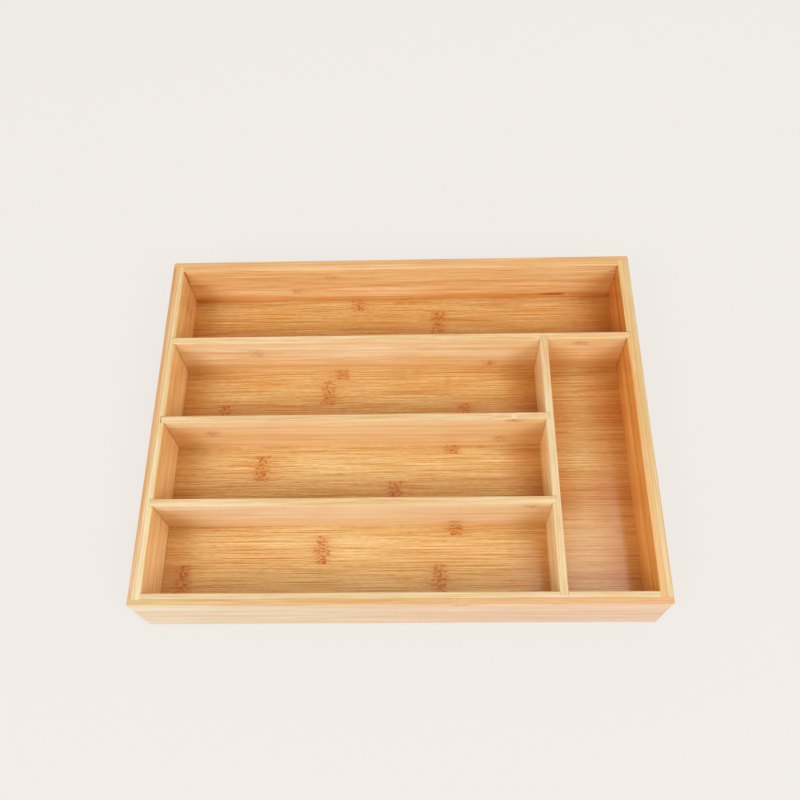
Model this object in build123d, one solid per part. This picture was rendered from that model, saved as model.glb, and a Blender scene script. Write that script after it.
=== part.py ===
from build123d import *
import os

# Bamboo cutlery tray with five compartments. Lengths are in millimetres.
# The origin is at the centre of the underside, +X to the right, +Y to the back and +Z up.
# A long compartment lies across the back, three cutlery bays lie one behind another at the left,
# and a narrow bay runs from front to back at the right.

# Outside of the tray
tray_width = 340.0
tray_depth = 260.0
tray_height = 50.0

# Boards: each wall is two plies glued face to face, the dividers and the floor are single boards
outer_ply_thickness = 4.1
inner_ply_thickness = 4.1
divider_thickness = 5.0
floor_thickness = 5.0

# The floor's underside lies this far above the bottom edges of the walls
floor_recess = 2.4

# Clear sizes of the bays: three from front to back at the left, and the narrow one at the right
front_bay_depth = 57.7
middle_bay_depth = 55.6
rear_bay_depth = 57.8
side_bay_width = 56.3

# Joints: the dividers are let into dadoes, and the floor into a groove round the walls
dado_depth = 2.5
dado_end_gap = 0.1
dado_side_gap = 0.05
groove_depth = 2.5
groove_end_gap = 0.5

# The middle cross divider was cut a little short, and this gap shows at its left end
short_tongue_gap = 0.5

# Sanded corners and edges
corner_radius = 1.5
wall_edge_radius = 0.8
divider_edge_radius = 0.6

# How far a cut runs past what it opens
cut_overrun = 1.0

# Places that follow from the sizes above
wall_thickness = outer_ply_thickness + inner_ply_thickness
outside_right = tray_width / 2
outside_left = -outside_right
outside_back = tray_depth / 2
outside_front = -outside_back
inside_right = outside_right - wall_thickness
inside_left = -inside_right
inside_back = outside_back - wall_thickness
inside_front = -inside_back
seam_right = outside_right - outer_ply_thickness
seam_left = -seam_right
seam_back = outside_back - outer_ply_thickness
seam_front = -seam_back
floor_top = floor_recess + floor_thickness
tongue = dado_depth - dado_end_gap
short_tongue = dado_depth - short_tongue_gap
floor_tongue = groove_depth - groove_end_gap

# Front faces of the dividers that run across, and left face of the one that runs front to back
front_cross_y = inside_front + front_bay_depth
middle_cross_y = front_cross_y + divider_thickness + middle_bay_depth
rear_divider_y = middle_cross_y + divider_thickness + rear_bay_depth
side_divider_x = inside_right - side_bay_width - divider_thickness


def block(x_span, y_span, z_span):
    """A square-edged block that fills three spans, each given as (from, to)."""
    spans = (x_span, y_span, z_span)
    low_corner = [span[0] for span in spans]
    size = [span[1] - span[0] for span in spans]
    return Pos(*low_corner) * Box(*size, align=(Align.MIN, Align.MIN, Align.MIN))


def widened(span, margin):
    """A span made longer by the margin at both ends."""
    return span[0] - margin, span[1] + margin


def wall_ring():
    """All four walls as one ring, with the corners and the edges eased."""
    outside = block((outside_left, outside_right), (outside_front, outside_back), (0, tray_height))
    outside = fillet(outside.edges().filter_by(Axis.Z), corner_radius)
    inside = block(
        (inside_left, inside_right),
        (inside_front, inside_back),
        widened((0, tray_height), cut_overrun),
    )
    ring = outside - inside
    return fillet(ring.faces().filter_by(Axis.Z).edges(), wall_edge_radius)


def divider(axis, x_span, y_span):
    """A divider board that stands on the floor, with its two long top edges eased."""
    board = block(x_span, y_span, (floor_top, tray_height))
    top_edges = board.edges().filter_by(axis).group_by(Axis.Z)[-1]
    return fillet(top_edges, divider_edge_radius)


def dado(axis, x_span, y_span):
    """The cut that takes a divider's ends, a little wider and longer than the board."""
    if axis == Axis.X:
        x_margin, y_margin = dado_end_gap, dado_side_gap
    else:
        x_margin, y_margin = dado_side_gap, dado_end_gap
    return block(
        widened(x_span, x_margin),
        widened(y_span, y_margin),
        (floor_top, tray_height + cut_overrun),
    )


# Each divider's full place: the axis it runs along, its span in X and its span in Y, tongues included
divider_places = {
    "rear_divider": (
        Axis.X,
        widened((inside_left, inside_right), tongue),
        (rear_divider_y, rear_divider_y + divider_thickness),
    ),
    "side_divider": (
        Axis.Y,
        (side_divider_x, side_divider_x + divider_thickness),
        widened((inside_front, rear_divider_y), tongue),
    ),
    "middle_cross_divider": (
        Axis.X,
        widened((inside_left, side_divider_x), tongue),
        (middle_cross_y, middle_cross_y + divider_thickness),
    ),
    "front_cross_divider": (
        Axis.X,
        widened((inside_left, side_divider_x), tongue),
        (front_cross_y, front_cross_y + divider_thickness),
    ),
}
dados = {name: dado(*place) for name, place in divider_places.items()}
parts = {name: divider(*place) for name, place in divider_places.items()}
parts["middle_cross_divider"] = divider(
    Axis.X,
    (inside_left - short_tongue, side_divider_x + tongue),
    (middle_cross_y, middle_cross_y + divider_thickness),
)

# The side divider is let into the rear one, and the two cross dividers into the side one
parts["rear_divider"] -= dados["side_divider"]
parts["side_divider"] -= dados["middle_cross_divider"] + dados["front_cross_divider"]

# Walls: the front and back outer plies cover the ends of the side walls,
# and the front and back inner plies stop at the inner faces of the side walls
ring = wall_ring()
height_span = (0, tray_height)
full_width = (outside_left, outside_right)
inside_width = (inside_left, inside_right)
side_length = (seam_front, seam_back)
ply_places = {
    "front_wall_outer_ply": (full_width, (outside_front, seam_front)),
    "front_wall_inner_ply": (inside_width, (seam_front, inside_front)),
    "back_wall_outer_ply": (full_width, (seam_back, outside_back)),
    "back_wall_inner_ply": (inside_width, (inside_back, seam_back)),
    "left_wall_outer_ply": ((outside_left, seam_left), side_length),
    "left_wall_inner_ply": ((seam_left, inside_left), side_length),
    "right_wall_outer_ply": ((seam_right, outside_right), side_length),
    "right_wall_inner_ply": ((inside_right, seam_right), side_length),
}
for name, (x_span, y_span) in ply_places.items():
    parts[name] = ring & block(x_span, y_span, height_span)

# Grooves for the floor, each one running out at both ends of its board
floor_height = (floor_recess, floor_top)
side_grooves = block(widened(inside_width, groove_depth), (outside_front, outside_back), floor_height)
end_grooves = block(full_width, widened((inside_front, inside_back), groove_depth), floor_height)
for name in ("left_wall_inner_ply", "right_wall_inner_ply"):
    parts[name] -= side_grooves
for name in ("front_wall_inner_ply", "back_wall_inner_ply"):
    parts[name] -= end_grooves

# Dadoes in the walls
parts["left_wall_inner_ply"] -= (
    dados["rear_divider"] + dados["middle_cross_divider"] + dados["front_cross_divider"]
)
parts["right_wall_inner_ply"] -= dados["rear_divider"]
parts["front_wall_inner_ply"] -= dados["side_divider"]

# Floor, one panel that reaches into the grooves on all four sides
parts["floor_panel"] = block(
    widened(inside_width, floor_tongue),
    widened((inside_front, inside_back), floor_tongue),
    floor_height,
)

os.makedirs("parts", exist_ok=True)
for name, shape in parts.items():
    export_step(shape, f"parts/{name}.step")
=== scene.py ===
import math
import bpy
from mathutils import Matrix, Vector


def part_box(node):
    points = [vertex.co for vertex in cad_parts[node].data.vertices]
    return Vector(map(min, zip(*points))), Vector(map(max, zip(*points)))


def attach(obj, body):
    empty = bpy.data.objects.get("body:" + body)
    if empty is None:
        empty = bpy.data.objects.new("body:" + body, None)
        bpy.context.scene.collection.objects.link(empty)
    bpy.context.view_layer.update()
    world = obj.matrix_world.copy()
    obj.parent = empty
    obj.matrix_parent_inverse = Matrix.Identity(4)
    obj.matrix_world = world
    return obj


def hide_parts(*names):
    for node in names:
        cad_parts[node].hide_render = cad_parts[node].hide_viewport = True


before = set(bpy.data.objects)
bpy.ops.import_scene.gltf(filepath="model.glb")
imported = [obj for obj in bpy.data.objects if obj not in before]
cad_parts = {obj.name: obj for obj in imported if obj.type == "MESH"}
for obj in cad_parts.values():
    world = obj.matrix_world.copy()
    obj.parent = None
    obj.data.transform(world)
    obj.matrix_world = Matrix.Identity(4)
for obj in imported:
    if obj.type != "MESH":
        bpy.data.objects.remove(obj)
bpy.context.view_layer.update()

print("frame loaded:", len(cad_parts), "boards")

# Camera, as the photo was taken: from above the front edge, a little right of the middle
camera = {
    "place": (0.01836, -0.26294, 0.59608),
    "turn": (26.708, 1.769, 0.147),  # degrees
    "focalShare": 1.10789,  # focal length over the picture's width
    "sensor": 36.0,  # mm
    "nearest": 0.01,
}

# Plain studio: two soft lamps over the front corners, a small one behind that shows in the lacquer
studio = {
    "lamps": {
        "frontLeftLamp": {
            "place": (-1.0, -1.0, 1.41), "size": (0.9, 0.9), "watts": 15.2, "colour": (1.0, 0.92, 0.925),
        },
        "frontRightLamp": {
            "place": (1.0, -1.0, 1.41), "size": (0.9, 0.9), "watts": 13.3, "colour": (1.0, 1.0, 1.0),
        },
        "sheenLamp": {
            "place": (0.49, 0.30, 1.5), "size": (0.36, 0.42), "watts": 2.6, "colour": (1.0, 1.0, 1.0),
        },
    },
    "skyColour": (1.0, 0.99, 0.975),
    "skyStrength": 0.756,
    "groundColour": (237, 233, 228),  # sRGB, as the photo's backdrop
    "groundGlow": 0.88,  # how far the eye and the lacquer see that colour, whatever light falls on it
    "groundReach": 3.0,
}


def fromSrgb(colour):
    # by the standard sRGB curve
    linear = []
    for part in colour:
        share = part / 255
        linear.append(share / 12.92 if share <= 0.04045 else ((share + 0.055) / 1.055) ** 2.4)
    return tuple(linear)


class Wire:
    # a shader socket: sums on it add Math nodes to its tree
    def __init__(self, finish, socket):
        self.finish = finish
        self.socket = socket

    def sum(self, operation, *values):
        inputs = dict(enumerate(values))
        return self.finish.add("ShaderNodeMath", {"operation": operation}, inputs)

    def __add__(self, other):
        return self.sum("ADD", self, other)

    def __sub__(self, other):
        return self.sum("SUBTRACT", self, other)

    def __rsub__(self, other):
        return self.sum("SUBTRACT", other, self)

    def __mul__(self, other):
        return self.sum("MULTIPLY", self, other)

    def __truediv__(self, other):
        return self.sum("DIVIDE", self, other)

    def __pow__(self, other):
        return self.sum("POWER", self, other)

    __radd__ = __add__
    __rmul__ = __mul__

    def atLeast(self, other):
        return self.sum("MAXIMUM", self, other)

    def atMost(self, other):
        return self.sum("MINIMUM", self, other)

    def size(self):
        return self.sum("ABSOLUTE", self)

    def exp(self):
        return self.sum("EXPONENT", self)

    def floor(self):
        return self.sum("FLOOR", self)

    def isNumber(self, number, margin=0.25):
        return self.sum("COMPARE", self, number, margin)

    def rise(self, start, end):
        # 0 up to start, 1 from end, smooth between
        inputs = {"Value": self, "From Min": start, "From Max": end}
        return self.finish.add("ShaderNodeMapRange", {"interpolation_type": "SMOOTHSTEP"}, inputs)

    def bell(self):
        # 1 at zero, falling smoothly to 0 at one either side
        return (1 - self * self).atLeast(0.0) ** 2.0

    def within(self, start, end, ease):
        return self.rise(start - ease, start + ease) * (1 - self.rise(end - ease, end + ease))


class Finish:
    # a material or a world, and the ways its nodes are added
    def __init__(self, name, kind="materials"):
        self.material = getattr(bpy.data, kind).new(name)
        self.material.use_nodes = True
        self.nodes = self.material.node_tree.nodes
        self.links = self.material.node_tree.links
        self.nodes.clear()

    def add(self, kind, settings=None, inputs=None, output=0):
        node = self.nodes.new(kind)
        for name, value in (settings or {}).items():
            setattr(node, name, value)
        for name, value in (inputs or {}).items():
            socket = node.inputs[name]
            if isinstance(value, Wire):
                self.links.new(value.socket, socket)
            else:
                socket.default_value = value
        return Wire(self, node.outputs[output]) if node.outputs else None

    def split(self, vector):
        return {
            axis: self.add("ShaderNodeSeparateXYZ", {}, {0: vector}, number)
            for number, axis in enumerate("XYZ")
        }

    def join(self, x, y, z):
        return self.add("ShaderNodeCombineXYZ", {}, {0: x, 1: y, 2: z})

    def noise(self, place, detail):
        return self.add("ShaderNodeTexNoise", {}, {"Vector": place, "Scale": 1.0, "Detail": detail})

    def mix(self, share, first, second):
        # the two colours are wires or linear values
        colours = [colour if isinstance(colour, Wire) else (*colour, 1) for colour in (first, second)]
        inputs = {0: share, 6: colours[0], 7: colours[1]}
        return self.add("ShaderNodeMix", {"data_type": "RGBA"}, inputs, 2)

    def times(self, first, second):
        return self.add("ShaderNodeVectorMath", {"operation": "MULTIPLY"}, {0: first, 1: second})


# Bamboo: what all boards share. Lengths in metres, rates in cells per metre along and across the grain
grain = {
    "stripWidth": 0.0203,
    "stripSpan": 3.1,  # strips come from places in the grain up to this far apart
    "stripStep": 1.37,
    "depthShares": (0.39, 1.0, 2.1),  # how fast red, green and blue fall as the wood gets deeper
    "layerShares": (0.35, 1.0, 2.0),  # the same for whole layers and for painted edge and corner shade
    "paleShare": 0.75,  # how far the palest wood rises where the deepest falls by 1
    "bandRates": (7.0, 210.0),
    "lineRange": (0.56, 0.65),
    "hueRates": (55.0, 420.0),  # patches that lean to yellow or to pink
    "hueRange": (0.35, 0.65),
    "yellowTint": (0.978, 1.018, 0.965),
    "pinkTint": (1.018, 0.978, 1.025),
    "waver": 0.0004,  # how far fibres wander across the board
    "waverRates": (8.0, 30.0),
    "knuckleReach": 0.0078,  # half the length of a bamboo joint's scar along the grain
    "knuckleEnds": (0.6, 1.2),  # across the grain it fades between these shares of its reach
    "knuckleRagged": 0.007,
    "raggedRates": (90.0, 700.0),
    "fanReach": 0.019,  # fibres bend this far either side of it
    "fanShift": 0.0030,
    "fanRates": (75.0, 130.0),
    "curlShift": 0.0042,
    "curlRates": (260.0, 240.0),
    "scarTone": 0.30,
    "markRates": (330.0, 800.0),  # the dark marks in a scar
    "markRange": (0.46, 0.60),
    "markShare": 1.2,
    "markDepth": 1.0,
    "seamWidth": 0.00044,
    "seamDepth": 0.55,
    # painted light makes faces paler towards their tops between these heights
    "paintedTopLightRange": (0.036, 0.050),
    "cornerShadeReach": 0.032,  # painted corner shade deepens the wood this near to a board that meets it
    "cornerShadeHeights": (0.008, 0.060),  # and less so from the first of these heights up to the second
    "cornerLine": 0.0011,  # and a fine dark line runs down the corner itself, partly a dark joint and partly painted contact shade
    "touch": 0.0001,
    "facingRange": (0.0, 0.5),  # a face counts as facing an axis from the first value to the second
    "rimRange": (0.3, 0.9),
    "endRange": (0.5, 0.9),
    "endShare": 0.6,  # end grain goes this far towards a shade this much deeper
    "endDepth": 0.6,
    "seedSteps": {  # these keep a board's noises apart
        "streak": 2.3, "mark": 3.0, "ragged": 4.0, "fibre": 5.9, "fan": 7.0, "line": 8.1, "curl": 9.0,
        "hue": 11.4,
    },
}

# Satin lacquer, and the relief of the grain under it
lacquer = {
    "rough": 0.55,
    "fibreRough": 0.3,
    "bandSmooth": 0.15,
    "streakHeight": 0.6,
    "fibreHeight": 0.4,
    "markSink": 0.4,
    "bumpStrength": 0.3,
    "bumpDistance": 0.0001,
    "specular": 0.1,
    "coatRough": 0.16,
    "rimLoss": 0.85,  # the sanded rims keep this much less of it
}


def shade(colour, amount):
    return tuple(part * math.exp(amount * share) for part, share in zip(colour, grain["depthShares"]))


def shadesOf(colour, contrast):
    # the deepest and the palest wood of a colour
    return shade(colour, -contrast), shade(colour, grain["paleShare"] * contrast)


def layGrain(finish, place, rates, detail, seed):
    along, across, through = place
    vector = finish.join(along * rates[0] + seed, across * rates[1], through * rates[1] + seed)
    return finish.noise(vector, detail)


def layFlat(finish, along, across, rates, detail, seed):
    # the same noise all the way through the board
    return finish.noise(finish.join(along * rates[0], across * rates[1], seed), detail)


def readFact(finish, name):
    return finish.add("ShaderNodeAttribute", {"attribute_name": name}, {}, "Fac")


def stripsOf(finish, board, along, across):
    # the strip that a point lies in, its tone, which on the floor is partly painted light, the knuckles near
    # it, and the glue line between strips
    if board["strips"] == "laid":
        knuckles = [(1.0, along - readFact(finish, name), 1.0) for name in ("firstKnuckle", "secondKnuckle")]
        return readFact(finish, "stripNumber"), readFact(finish, "stripToneAndPaintedLight"), knuckles, None
    place = (across - board["strips"]) / grain["stripWidth"]
    strip = place.floor()
    tone = 0.0
    for number, change in board["stripTones"].items():
        tone = strip.isNumber(number) * change + tone
    knuckles = []
    for at, height, reach, strength in board["knuckles"]:
        here = 1 - (across - height).size().rise(*(reach * share for share in grain["knuckleEnds"]))
        knuckles.append((here, along - at, strength))
    fromSeam = (place - strip - 0.5).size() * -grain["stripWidth"] + 0.5 * grain["stripWidth"]
    return strip, tone, knuckles, 1 - fromSeam.rise(0.0, grain["seamWidth"])


def paintedCornerShade(name, board, along, height, facing):
    # painted corner shade beside each board that meets this one, on the faces that it meets: the wood is
    # drawn deeper where less light reaches it, with a fine dark line down the corner that is partly a dark
    # joint
    axis, side = ("XYZ".index(letter) for letter in board["grain"][::2])
    ownLow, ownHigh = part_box(name)
    outward = facing[board["grain"][2]]
    shading = 0.0
    for other in board["meets"]:
        low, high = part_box(other)
        fromMiddle = along - (low[axis] + high[axis]) / 2
        fromFace = fromMiddle.size() - (high[axis] - low[axis]) / 2
        near = (fromMiddle / grain["cornerShadeReach"]).bell() * (1 - height.rise(*grain["cornerShadeHeights"]))
        near = near * board["cornerShadeDepth"]
        near = near + (1 - fromFace.rise(0.0, grain["cornerLine"])) * board["cornerLine"]
        touches = (low[side] < ownLow[side] + grain["touch"], high[side] > ownHigh[side] - grain["touch"])
        if touches == (False, True):
            near = near * outward.rise(*grain["facingRange"])
        if touches == (True, False):
            near = near * (-1 * outward).rise(*grain["facingRange"])
        shading = near + shading
    return shading


def layerToneAndShade(layersAndPaintedShade, across, along):
    # how much paler or deeper single layers make the wood: layers of the grain, and painted light and shade.
    # A layer is (place, reach, change), and one that doesn't run the whole length goes on with
    # (start, end, ease)
    shading = 0.0
    for at, reach, change, *span in layersAndPaintedShade:
        layer = ((across - at) / reach).bell() * change
        shading = (layer * along.within(*span) if span else layer) + shading
    return shading


def bambooFinish(name, board):
    board = {**plainBoard, **board}
    finish = Finish(name + "_bamboo")
    position = finish.split(finish.add("ShaderNodeTexCoord", output="Object"))
    facing = finish.split(finish.add("ShaderNodeNewGeometry", output="Normal"))
    onRim = facing["Z"].rise(*grain["rimRange"]) if board["rim"] else 0.0
    along, across, through = (position[axis] for axis in board["grain"])
    seed = board["seed"]
    seeds = {part: seed + step for part, step in grain["seedSteps"].items()}
    strip, stripToneAndPaintedLight, knuckles, seam = stripsOf(finish, board, along, across)
    diceInputs = {"W": strip * grain["stripStep"] + seed}
    dice = finish.add("ShaderNodeTexWhiteNoise", {"noise_dimensions": "1D"}, diceInputs, "Value")
    shifted = along + dice * grain["stripSpan"]

    # Fibres wander a little. By a knuckle they fan out, and in its scar they curl
    wander = layFlat(finish, shifted, across, grain["waverRates"], 2.0, seed)
    laid = across + (wander - 0.5) * grain["waver"]
    if knuckles:
        ragged = layFlat(finish, shifted, across, grain["raggedRates"], 1.0, seeds["ragged"])
        fan = layFlat(finish, shifted, across, grain["fanRates"], 0.0, seeds["fan"])
        curl = layFlat(finish, shifted, across, grain["curlRates"], 1.0, seeds["curl"])
        bent = 0.0
        scar = 0.0
        for here, distance, strength in knuckles:
            edge = distance + (ragged - 0.5) * grain["knuckleRagged"]
            scar = (edge / grain["knuckleReach"]).bell() * here * strength + scar
            bent = (distance / grain["fanReach"]).bell() * here * strength + bent
        laid = laid + (fan - 0.5) * bent * grain["fanShift"] + (curl - 0.5) * scar * grain["curlShift"]

    place = (shifted, laid, through)
    band = layGrain(finish, place, grain["bandRates"], 1.0, seed)
    streak = layGrain(finish, place, board["streakRates"], 1.0, seeds["streak"])
    fibre = layGrain(finish, place, board["fibreRates"], 1.0, seeds["fibre"])
    line = layGrain(finish, place, board["lineRates"], 2.0, seeds["line"]).rise(*grain["lineRange"])

    # How pale the wood is here, with painted light on some boards: 0 is deepest, 1 palest
    tone = 0.5 + (band - 0.5) * board["bands"] + (streak - 0.5) * board["streaks"]
    tone = tone + (fibre - 0.5) * board["fibres"] - line * board["lines"]
    # along the side divider the drift is partly its own tone and partly painted light, falling off to the
    # back
    tone = tone + (dice - 0.5) * board["stripSpread"] + along * board["driftAndPaintedLight"] + stripToneAndPaintedLight
    if seam:
        tone = tone - seam * board["seams"]
    if knuckles:
        marks = layFlat(finish, shifted, laid, grain["markRates"], 1.0, seeds["mark"])
        marks = marks.rise(*grain["markRange"])
        tone = tone + scar * grain["scarTone"]
    rimTone = tone.atLeast(0.0).atMost(1.0)
    # painted light: the tops of the dividers' faces are drawn paler, as more light falls there
    tone = (position["Z"].rise(*grain["paintedTopLightRange"]) * board["paintedTopLight"] + tone).atLeast(0.0).atMost(1.0)

    face = fromSrgb(board["colour"])
    colour = finish.mix(tone, *shadesOf(face, board["contrast"]))
    if knuckles:
        blushing = (scar * board["blushShare"] + bent * board["fanBlush"]).atMost(1.0)
        colour = finish.mix(blushing, colour, fromSrgb(board["blush"]))
        marked = (scar * marks * grain["markShare"]).atMost(1.0)
        colour = finish.mix(marked, colour, shade(face, -grain["markDepth"]))

    # End grain is deeper, and a layer of the grain makes whole stretches paler or deeper. Painted light
    # and shade do the same in corners, along edges and in some layers
    endGrain = facing[board["grain"][0]].size().rise(*grain["endRange"])
    colour = finish.mix(endGrain * grain["endShare"], colour, shade(face, -grain["endDepth"]))
    depthAndPaintedShade = layerToneAndShade(board["layersAndPaintedShade"], laid, along) + layerToneAndShade(board["edges"], along, laid)
    if board["layersFace"]:
        axis, sign = board["layersFace"]
        depthAndPaintedShade = depthAndPaintedShade * (facing[axis] * sign).rise(*grain["facingRange"])
    # beside boards that meet it, the wood gets painted corner shade
    if board["meets"]:
        depthAndPaintedShade = depthAndPaintedShade - paintedCornerShade(name, board, along, position["Z"], facing)

    # Rims show the strips' sides, which have a colour of their own, and the glue line between two plies
    if board["rim"]:
        rim = fromSrgb(board["rim"])
        if board["glueFace"]:
            fromGlue = (through - board["glueFace"]).size()
            glueLine = 1 - fromGlue.rise(0.0, grain["seamWidth"])
            rimTone = rimTone - glueLine * grain["seamDepth"]
        rimColour = finish.mix(rimTone, *shadesOf(rim, board["rimContrast"]))
        colour = finish.mix(onRim, colour, rimColour)
        rimDepth = along * board["rimDrift"] + layerToneAndShade(board["rimLayers"], through, along)
        depthAndPaintedShade = onRim * (rimDepth - depthAndPaintedShade) + depthAndPaintedShade
    fall = [(depthAndPaintedShade * share).exp() for share in grain["layerShares"]]
    colour = finish.times(colour, finish.join(*fall))

    # Tints: patches that lean to yellow or pink, and on some boards a change from one end to the other; on
    # the front face its paler, whiter left end is a painted reflection
    hue = layGrain(finish, place, grain["hueRates"], 1.0, seeds["hue"]).rise(*grain["hueRange"])
    tints = [[1 + (part - 1) * board["hues"] for part in grain[kind]] for kind in ("yellowTint", "pinkTint")]
    colour = finish.times(colour, finish.mix(hue, *tints))
    if board["endTintsAndSheen"]:
        share = along.rise(*board["endTintsAndSheen"]["span"])
        ends = finish.mix(share, board["endTintsAndSheen"]["low"], board["endTintsAndSheen"]["high"])
        colour = finish.times(colour, ends)

    rough = lacquer["rough"] + (fibre - 0.5) * lacquer["fibreRough"] - (band - 0.5) * lacquer["bandSmooth"]
    height = (streak - 0.5) * lacquer["streakHeight"] + (fibre - 0.5) * lacquer["fibreHeight"]
    if knuckles:
        height = height - scar * marks * lacquer["markSink"]
    bumpInputs = {
        "Strength": lacquer["bumpStrength"], "Distance": lacquer["bumpDistance"], "Height": height,
    }
    shader = finish.add(
        "ShaderNodeBsdfPrincipled",
        {},
        {
            "Base Color": colour,
            "Roughness": rough,
            "Specular IOR Level": lacquer["specular"],
            "Normal": finish.add("ShaderNodeBump", {}, bumpInputs),
            "Coat Weight": (1 - onRim * lacquer["rimLoss"]) * board["lacquer"],
            "Coat Roughness": lacquer["coatRough"],
        },
    )
    finish.add("ShaderNodeOutputMaterial", {}, {"Surface": shader})
    return finish.material


# A board where its own values don't say otherwise. grain names the axes along, across and through it, and
# strips is where one of its strips starts. Knuckles are (place along, place across, reach across, strength),
# and blush is their colour. stripTones makes single strips paler or deeper. Lines are sparse dark fibres,
# longer than the streaks. Layers lie at places across the face: layers of the grain, and painted shade at
# the feet of walls and in shaded stretches, with painted light in lit ones. Edges lie at places along it:
# painted shade near walls and dividers, painted light between them, and a dark joint line. rimLayers lie at
# places through the board, and layersFace is the one way that layers and edges face, where they don't show
# on both faces. meets names the boards that stand against this one, beside which painted corner shade falls
plainBoard = {
    "grain": "XZY", "strips": 0.0127, "knuckles": [], "stripTones": {}, "stripSpread": 0.15, "driftAndPaintedLight": 0.0,
    "streakRates": (20.0, 2000.0), "fibreRates": (90.0, 4200.0), "lineRates": (16.0, 1800.0),
    "contrast": 0.30, "bands": 1.0, "streaks": 1.7, "fibres": 1.0, "lines": 0.3, "seams": 0.0, "hues": 1.0,
    "blush": (192, 112, 47), "blushShare": 0.42, "fanBlush": 0.20, "paintedTopLight": 0.0, "endTintsAndSheen": None,
    "rim": None, "glueFace": 0.0, "rimContrast": 0.3, "rimDrift": 0.0, "rimLayers": [],
    "layersAndPaintedShade": [], "edges": [], "layersFace": None, "meets": (), "cornerShadeDepth": 0.32, "cornerLine": 0.35,
    "lacquer": 1.0,
}
crossEnds = ("left_wall_inner_ply", "side_divider")
dividers = ("front_cross_divider", "middle_cross_divider", "rear_divider")
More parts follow.
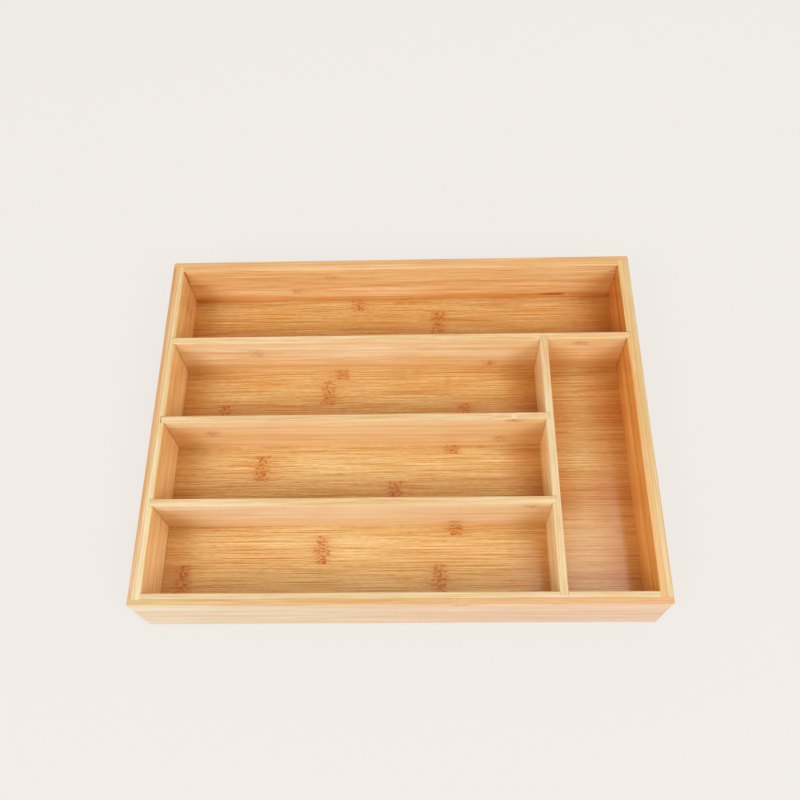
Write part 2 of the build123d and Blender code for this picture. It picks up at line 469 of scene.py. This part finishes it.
boards = {
    "front_wall_outer_ply": {
        "seed": 1.0, "colour": (215, 177, 120), "rim": (203, 160, 104), "glueFace": -0.1259,
        "contrast": 0.40, "lines": 0.5,
        "knuckles": [(-0.050, 0.0125, 0.0025, 0.4), (0.039, 0.050, 0.004, 0.7)],
        # its left end is painted paler and whiter, a painted reflection
        "endTintsAndSheen": {"span": (-0.20, 0.11), "low": (1.02, 1.21, 1.42), "high": (0.98, 0.88, 0.84)},
    },
    "front_wall_inner_ply": {
        "seed": 2.0, "colour": (234, 186, 128), "rim": (209, 185, 139), "glueFace": -0.1259,
    },
    "back_wall_outer_ply": {
        "seed": 3.0, "colour": (230, 180, 122), "rim": (212, 167, 113), "glueFace": 0.1259,
    },
    "back_wall_inner_ply": {
        "seed": 4.0, "colour": (236, 189, 116), "rim": (212, 167, 113), "glueFace": 0.1259, "contrast": 0.55,
        "seams": 0.3, "meets": ("left_wall_inner_ply", "right_wall_inner_ply"),
        "edges": [(-0.1618, 0.0018, -0.9, 0.034, 0.06, 0.004)],
        "layersAndPaintedShade": [
            (0.0085, 0.0065, -0.36), (0.0315, 0.0022, -0.16, -0.2, -0.05, 0.02), (0.0395, 0.005, 0.07),
            (0.0360, 0.0022, -0.16, -0.05, 0.06, 0.02), (0.0330, 0.0020, 0.08, -0.05, 0.2, 0.02),
            (0.0230, 0.0080, 0.10), (0.0165, 0.0030, 0.08), (0.0122, 0.0025, -0.12), (0.0492, 0.0012, -0.10),
            (0.0420, 0.0080, 0.09, 0.09, 0.2, 0.03),
            (0.0290, 0.0045, -0.30, -0.2, -0.150, 0.006), (0.0095, 0.0060, -0.28, -0.2, -0.146, 0.008),
            (0.045, 0.008, -0.14, -0.20, -0.06, 0.03), (0.0125, 0.0014, -1.1, 0.109, 0.127, 0.005),
            (0.0120, 0.0011, 0.8, 0.127, 0.131, 0.0015), (0.0115, 0.005, -0.18, 0.03, 0.2, 0.03),
        ],
        "knuckles": [(-0.080, 0.021, 0.004, 0.5), (-0.052, 0.0385, 0.0035, 0.5), (0.123, 0.013, 0.002, 1.0)],
    },
    "left_wall_outer_ply": {
        "grain": "YZX", "seed": 5.0, "colour": (230, 180, 122), "rim": (206, 168, 120), "glueFace": -0.1659,
        "rimLayers": [(-0.1688, 0.0022, -0.20), (-0.1663, 0.0012, 0.20)], "rimDrift": -1.4,
    },
    "left_wall_inner_ply": {
        "grain": "YZX", "seed": 6.0, "colour": (247, 198, 126), "rim": (212, 186, 135), "glueFace": -0.1659,
        "contrast": 0.42, "lines": 0.5, "meets": dividers + ("back_wall_inner_ply", "front_wall_inner_ply"),
        "cornerShadeDepth": 0.08, "cornerLine": 0.2, "knuckles": [(0.103, 0.026, 0.009, 0.5)],
        "rimLayers": [(-0.1643, 0.0015, 0.07), (-0.1620, 0.0010, -0.05)], "rimDrift": -0.9,
        "layersAndPaintedShade": [
            (0.0072, 0.0036, -0.45), (0.037, 0.006, 0.10), (0.022, 0.005, 0.10), (0.029, 0.002, -0.06),
            (0.015, 0.010, 0.07), (0.030, 0.040, -0.14, 0.0618, 0.2, 0.002), (0.020, 0.005, 0.06),
            (0.032, 0.008, 0.25, -0.2, -0.0616, 0.002), (0.0115, 0.004, 0.16, -0.2, -0.001, 0.002),
            (0.0225, 0.004, 0.06, -0.2, -0.0616, 0.002), (0.0425, 0.0030, 0.09, -0.0616, -0.001, 0.002),
            (0.0180, 0.0100, -0.12, 0.0618, 0.2, 0.002),
        ],
    },
    "right_wall_outer_ply": {
        "grain": "YZX", "seed": 7.0, "colour": (230, 184, 126), "rim": (206, 176, 124), "glueFace": 0.1659,
    },
    "right_wall_inner_ply": {
        "grain": "YZX", "seed": 8.0, "colour": (232, 164, 74), "rim": (210, 172, 113), "glueFace": 0.1659,
        "contrast": 0.60, "meets": ("back_wall_inner_ply", "rear_divider"), "rimDrift": 0.5,
        "layersAndPaintedShade": [
            (0.0338, 0.0030, -0.30), (0.0280, 0.004, 0.16), (0.0425, 0.0022, -0.09), (0.0080, 0.0070, -0.18),
            (0.0200, 0.0012, -0.06), (0.026, 0.06, -0.30, 0.055, 0.20, 0.01),
            (0.0355, 0.005, -0.28, 0.0618, 0.20, 0.002), (0.0487, 0.0016, -0.2, 0.0618, 0.20, 0.002),
            (0.0300, 0.004, 0.14, -0.03, 0.0618, 0.02), (0.0070, 0.012, -0.28, -0.02, 0.0618, 0.02),
            (0.0200, 0.006, 0.09, -0.2, -0.03, 0.02), (0.0140, 0.012, 0.10, 0.0618, 0.2, 0.002),
        ],
    },
    "rear_divider": {
        "seed": 9.0, "colour": (235, 197, 137), "rim": (214, 182, 128), "paintedTopLight": 0.5,
        "contrast": 0.40, "rimContrast": 0.4, "edges": [(-0.055, 0.09, 0.06)], "layersFace": ("Y", -1),
        "layersAndPaintedShade": [
            (0.031, 0.012, 0.20), (0.0140, 0.0085, -0.15), (0.030, 0.040, -0.17, 0.1050, 0.2, 0.001),
            (0.0395, 0.0035, 0.13), (0.0465, 0.0060, -0.06), (0.0095, 0.0040, -0.09),
            (0.0180, 0.0100, 0.06, -0.2, -0.10, 0.03),
        ],
        "meets": crossEnds + ("right_wall_inner_ply",),
        "knuckles": [(-0.104, 0.034, 0.006, 0.5), (0.067, 0.0165, 0.0045, 0.6), (0.130, 0.043, 0.003, 0.6)],
    },
    "side_divider": {
        # its paler colour is partly its own tone and partly painted light on its left face
        "grain": "YZX", "seed": 10.0, "colour": (255, 227, 162), "rim": (206, 174, 120), "paintedTopLight": 0.5,
        # the drift is partly its own tone and partly painted light, paler at the front and falling off to
        # the back
        "driftAndPaintedLight": -1.0, "stripTones": {1: 0.2, -1: -0.25}, "rimContrast": 0.4,
        "layersAndPaintedShade": [(0.018, 0.012, 0.12, -0.2, -0.0616, 0.002)], "layersFace": ("X", -1),
    },
    "middle_cross_divider": {
        "seed": 11.0, "colour": (234, 195, 138), "rim": (209, 176, 122), "paintedTopLight": 0.5, "meets": crossEnds,
        "stripTones": {1: 0.1, 0: 0.1}, "rimContrast": 0.4, "edges": [(0.1005, 0.045, -0.10)],
        "layersAndPaintedShade": [
            (0.0095, 0.0045, 0.08), (0.0260, 0.0180, -0.13, -0.2, -0.13, 0.03),
            (0.0430, 0.0100, -0.05, 0.0, 0.2, 0.04), (0.0140, 0.0100, 0.07, 0.06, 0.2, 0.03),
            (0.0440, 0.0060, 0.10, -0.2, -0.115, 0.03),
        ],
        "knuckles": [(0.079, 0.048, 0.003, 0.6), (-0.132, 0.030, 0.005, 0.5), (0.071, 0.0175, 0.0055, 0.6)],
    },
    "front_cross_divider": {
        "seed": 12.0, "colour": (234, 205, 157), "rim": (209, 179, 124), "paintedTopLight": 0.5, "meets": crossEnds,
        "layersAndPaintedShade": [
            (0.028, 0.011, 0.17), (0.0215, 0.007, 0.07), (0.0095, 0.004, -0.08, -0.2, -0.08, 0.03),
            (0.0380, 0.014, -0.06, 0.0, 0.08, 0.03), (0.0300, 0.012, -0.14, -0.2, -0.11, 0.03),
            (0.0445, 0.007, 0.16, -0.2, -0.115, 0.03), (0.0140, 0.010, 0.11, 0.06, 0.2, 0.03),
        ],
        "edges": [(0.1005, 0.045, -0.09), (-0.1618, 0.05, -0.06)], "rimContrast": 0.4,
        "knuckles": [(0.087, 0.0435, 0.0035, 0.5), (0.038, 0.0135, 0.0035, 0.6)],
    },
}

# Floor panel. Its strips are laid from the rearmost forward, and each has its knuckles' places, as shares of
# the panel's length, and how much paler than the rest it is, partly its own tone and partly painted light,
# deeper towards the back
floorBoard = {
    "grain": "XYZ", "strips": "laid", "seed": 13.0, "colour": (212, 164, 90), "lacquer": 0.5,
    "streakRates": (17.0, 2400.0), "fibreRates": (170.0, 2700.0), "lineRates": (15.0, 1900.0),
    "contrast": 0.57, "bands": 0.25, "streaks": 2.2, "fibres": 1.1, "lines": 0.8, "hues": 0.3,
    "stripSpread": 0.0,
    # among these layers, painted shade deepens the near side of each bay and painted light the far side
    "layersAndPaintedShade": [
        (-0.043, 0.012, -0.22), (0.022, 0.014, -0.15), (0.090, 0.018, -0.32),
        (0.116, 0.008, 0.08), (-0.016, 0.012, 0.14), (-0.074, 0.008, 0.10),
        (0.046, 0.014, 0.06, -0.2, 0.103, 0.001),
        (0.0130, 0.012, 0.31, -0.015, 0.05, 0.02), (0.0460, 0.014, -0.14, -0.015, 0.05, 0.02),
        (0.0860, 0.022, 0.16, 0.0, 0.085, 0.03), (0.0200, 0.014, 0.14, 0.106, 0.14, 0.006),
        (-0.0720, 0.010, 0.08, -0.11, -0.02, 0.03), (-0.0500, 0.012, -0.11, -0.09, -0.02, 0.02),
        (0.045, 0.030, 0.12, 0.103, 0.2, 0.001),
    ],
    "layersFace": ("Z", 1),
    # painted shade beside the walls and the side divider, and painted light in the middle of the bays
    "edges": [
        (-0.1618, 0.024, -0.30), (0.1618, 0.035, -0.45, 0.0618, 0.2, 0.001),
        (0.1618, 0.036, -0.51, -0.2, 0.0618, 0.001), (0.1005, 0.022, -0.34, -0.2, -0.0616, 0.001),
        (0.1005, 0.032, -0.50, -0.0616, 0.0618, 0.001), (-0.030, 0.100, 0.06, -0.2, 0.0618, 0.001),
    ],
    "firstSeam": 0.1112,  # y of the rearmost seam
    "ease": 0.00008,
    "easeSteps": 2,
    "noKnuckle": -9.0,  # a place far off the panel
    "laidStrips": [
        ((0.399,), -0.10), ((0.5885,), -0.10), ((), 0.0), ((0.366,), -0.05), ((0.335,), -0.10),
        ((0.103, 0.6435), -0.15), ((0.613,), 0.0), ((0.195,), 0.0), ((0.488,), 0.0), ((0.616,), 0.02),
        ((0.335,), 0.06), ((0.048, 0.582), 0.05), ((), 0.0),
    ],
}


def floorStripPoints(values, low, high):
    # one point for each strip, with its width, its number, its knuckles' places and its tone, partly painted
    # light
    width = grain["stripWidth"]
    seams = [high[1]]
    while values["firstSeam"] - (len(seams) - 1) * width > low[1]:
        seams.append(values["firstSeam"] - (len(seams) - 1) * width)
    seams.append(low[1])
    spans = list(zip(seams[1:], seams))
    middle, height = ((low[axis] + high[axis]) / 2 for axis in (0, 2))
    places = [(middle, (front + back) / 2, height) for front, back in spans]
    mesh = bpy.data.meshes.new("floorStripPoints")
    mesh.from_pydata(places, [], [])
    strips = [values["laidStrips"][n % len(values["laidStrips"])] for n in range(len(spans))]
    length = high[0] - low[0]
    spare = (values["noKnuckle"],) * 2
    knuckles = [[low[0] + share * length for share in (*shares, *spare)] for shares, tone in strips]
    facts = {
        "widthShare": [(back - front) / width for front, back in spans],
        "stripNumber": range(len(spans)),
        "firstKnuckle": [pair[0] for pair in knuckles],
        "secondKnuckle": [pair[1] for pair in knuckles],
        "stripToneAndPaintedLight": [tone for shares, tone in strips],
    }
    for name, numbers in facts.items():
        mesh.attributes.new(name, "FLOAT", "POINT").data.foreach_set("value", numbers)
    points = bpy.data.objects.new("floorStrips", mesh)
    bpy.context.collection.objects.link(points)
    return points


def stripTree(material, easeSteps):
    # Geometry Nodes: a strip of the asked size on every point
    tree = bpy.data.node_groups.new("layFloorStrips", "GeometryNodeTree")
    tree.interface.new_socket("Points", in_out="INPUT", socket_type="NodeSocketGeometry")
    for name in ("Strip Length", "Strip Width", "Strip Thickness", "Edge Ease"):
        tree.interface.new_socket(name, in_out="INPUT", socket_type="NodeSocketFloat")
    tree.interface.new_socket("Strips", in_out="OUTPUT", socket_type="NodeSocketGeometry")

    def add(kind, settings=None, inputs=None):
        node = tree.nodes.new(kind)
        for name, value in (settings or {}).items():
            setattr(node, name, value)
        for name, value in (inputs or {}).items():
            if isinstance(value, bpy.types.NodeSocket):
                tree.links.new(value, node.inputs[name])
            else:
                node.inputs[name].default_value = value
        return node.outputs[0] if node.outputs else None

    given = tree.nodes.new("NodeGroupInput").outputs
    ends = []
    for side in (-0.5, 0.5):
        reach = add("ShaderNodeMath", {"operation": "MULTIPLY"}, {0: given["Strip Length"], 1: side})
        ends.append(add("ShaderNodeCombineXYZ", {}, {"X": reach}))
    path = add("GeometryNodeCurvePrimitiveLine", {"mode": "POINTS"}, {"Start": ends[0], "End": ends[1]})
    sectionSize = {"Width": given["Strip Width"], "Height": given["Strip Thickness"]}
    section = add("GeometryNodeCurvePrimitiveQuadrilateral", {"mode": "RECTANGLE"}, sectionSize)
    easing = {"Curve": section, "Radius": given["Edge Ease"], "Count": easeSteps}
    eased = add("GeometryNodeFilletCurve", {"mode": "POLY"}, easing)
    strip = add("GeometryNodeCurveToMesh", {}, {"Curve": path, "Profile Curve": eased, "Fill Caps": True})
    share = add("GeometryNodeInputNamedAttribute", {"data_type": "FLOAT"}, {"Name": "widthShare"})
    scale = add("ShaderNodeCombineXYZ", {}, {"X": 1.0, "Y": share, "Z": 1.0})
    laying = {"Points": given["Points"], "Instance": strip, "Scale": scale}
    laid = add("GeometryNodeInstanceOnPoints", {}, laying)
    real = add("GeometryNodeRealizeInstances", {}, {"Geometry": laid})
    flat = add("GeometryNodeSetShadeSmooth", {}, {"Geometry": real, "Shade Smooth": False})
    dressed = add("GeometryNodeSetMaterial", {}, {"Geometry": flat, "Material": material})
    add("NodeGroupOutput", {}, {"Strips": dressed})
    return tree


def layFloor(values):
    low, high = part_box("floor_panel")
    strips = floorStripPoints(values, low, high)
    tree = stripTree(bambooFinish("floor_panel", values), values["easeSteps"])
    modifier = strips.modifiers.new("layFloorStrips", "NODES")
    modifier.node_group = tree
    sizes = {
        "Strip Length": high[0] - low[0],
        "Strip Width": grain["stripWidth"],
        "Strip Thickness": high[2] - low[2],
        "Edge Ease": values["ease"],
    }
    for item in tree.interface.items_tree:
        if item.name in sizes:
            modifier[item.identifier] = sizes[item.name]
    graph = bpy.context.evaluated_depsgraph_get()
    laid = strips.evaluated_get(graph)
    mesh = bpy.data.meshes.new_from_object(laid, preserve_all_data_layers=True, depsgraph=graph)
    strips.modifiers.clear()
    strips.data = mesh
    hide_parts("floor_panel")
    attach(strips, "root")
    print("floor laid:", len(mesh.polygons), "faces")


def addCamera(values):
    data = bpy.data.cameras.new("photoCamera")
    data.sensor_width = values["sensor"]
    data.lens = values["focalShare"] * values["sensor"]
    data.clip_start = values["nearest"]
    eye = bpy.data.objects.new("photoCamera", data)
    eye.location = values["place"]
    eye.rotation_euler = [math.radians(angle) for angle in values["turn"]]
    bpy.context.collection.objects.link(eye)
    bpy.context.scene.camera = eye


def addLamp(name, values):
    data = bpy.data.lights.new(name, "AREA")
    data.shape = "RECTANGLE"
    data.size, data.size_y = values["size"]
    data.energy = values["watts"]
    data.color = values["colour"]
    lamp = bpy.data.objects.new(name, data)
    lamp.location = values["place"]
    lamp.rotation_euler = (-Vector(values["place"])).to_track_quat("-Z", "Y").to_euler()
    bpy.context.collection.objects.link(lamp)


def groundFinish(values):
    # the ground shows mostly its own colour, and keeps some shadow of what stands on it
    finish = Finish("studio_ground")
    colour = (*fromSrgb(values["groundColour"]), 1)
    matt = finish.add("ShaderNodeBsdfDiffuse", {}, {"Color": colour})
    glow = finish.add("ShaderNodeEmission", {}, {"Color": colour, "Strength": 1.0})
    straight = finish.add("ShaderNodeLightPath", output="Is Camera Ray")
    glossy = finish.add("ShaderNodeLightPath", output="Is Glossy Ray")
    seen = (straight + glossy).atMost(1.0) * values["groundGlow"]
    surface = finish.add("ShaderNodeMixShader", {}, {0: seen, 1: matt, 2: glow})
    finish.add("ShaderNodeOutputMaterial", {}, {"Surface": surface})
    return finish.material


def skyFinish(values):
    # an even light from all round, and to the camera the ground's colour
    finish = Finish("studio_sky", "worlds")
    skyInputs = {"Color": (*values["skyColour"], 1), "Strength": values["skyStrength"]}
    sky = finish.add("ShaderNodeBackground", {}, skyInputs)
    backdrop = finish.add("ShaderNodeBackground", {}, {"Color": (*fromSrgb(values["groundColour"]), 1)})
    straight = finish.add("ShaderNodeLightPath", output="Is Camera Ray")
    surface = finish.add("ShaderNodeMixShader", {}, {0: straight, 1: sky, 2: backdrop})
    finish.add("ShaderNodeOutputWorld", {}, {"Surface": surface})
    return finish.material


def addStudio(values):
    for name, lamp in values["lamps"].items():
        addLamp(name, lamp)
    bpy.context.scene.world = skyFinish(values)
    reach = values["groundReach"]
    mesh = bpy.data.meshes.new("studioGround")
    corners = [(-reach, -reach, 0), (reach, -reach, 0), (reach, reach, 0), (-reach, reach, 0)]
    mesh.from_pydata(corners, [], [(0, 1, 2, 3)])
    mesh.materials.append(groundFinish(values))
    ground = bpy.data.objects.new("studioGround", mesh)
    bpy.context.collection.objects.link(ground)


addCamera(camera)
addStudio(studio)
bpy.context.scene.view_settings.view_transform = "Standard"
print("studio set")

for name, board in boards.items():
    finish = bambooFinish(name, board)
    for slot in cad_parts[name].material_slots:
        slot.material = finish
layFloor(floorBoard)
print("boards finished")
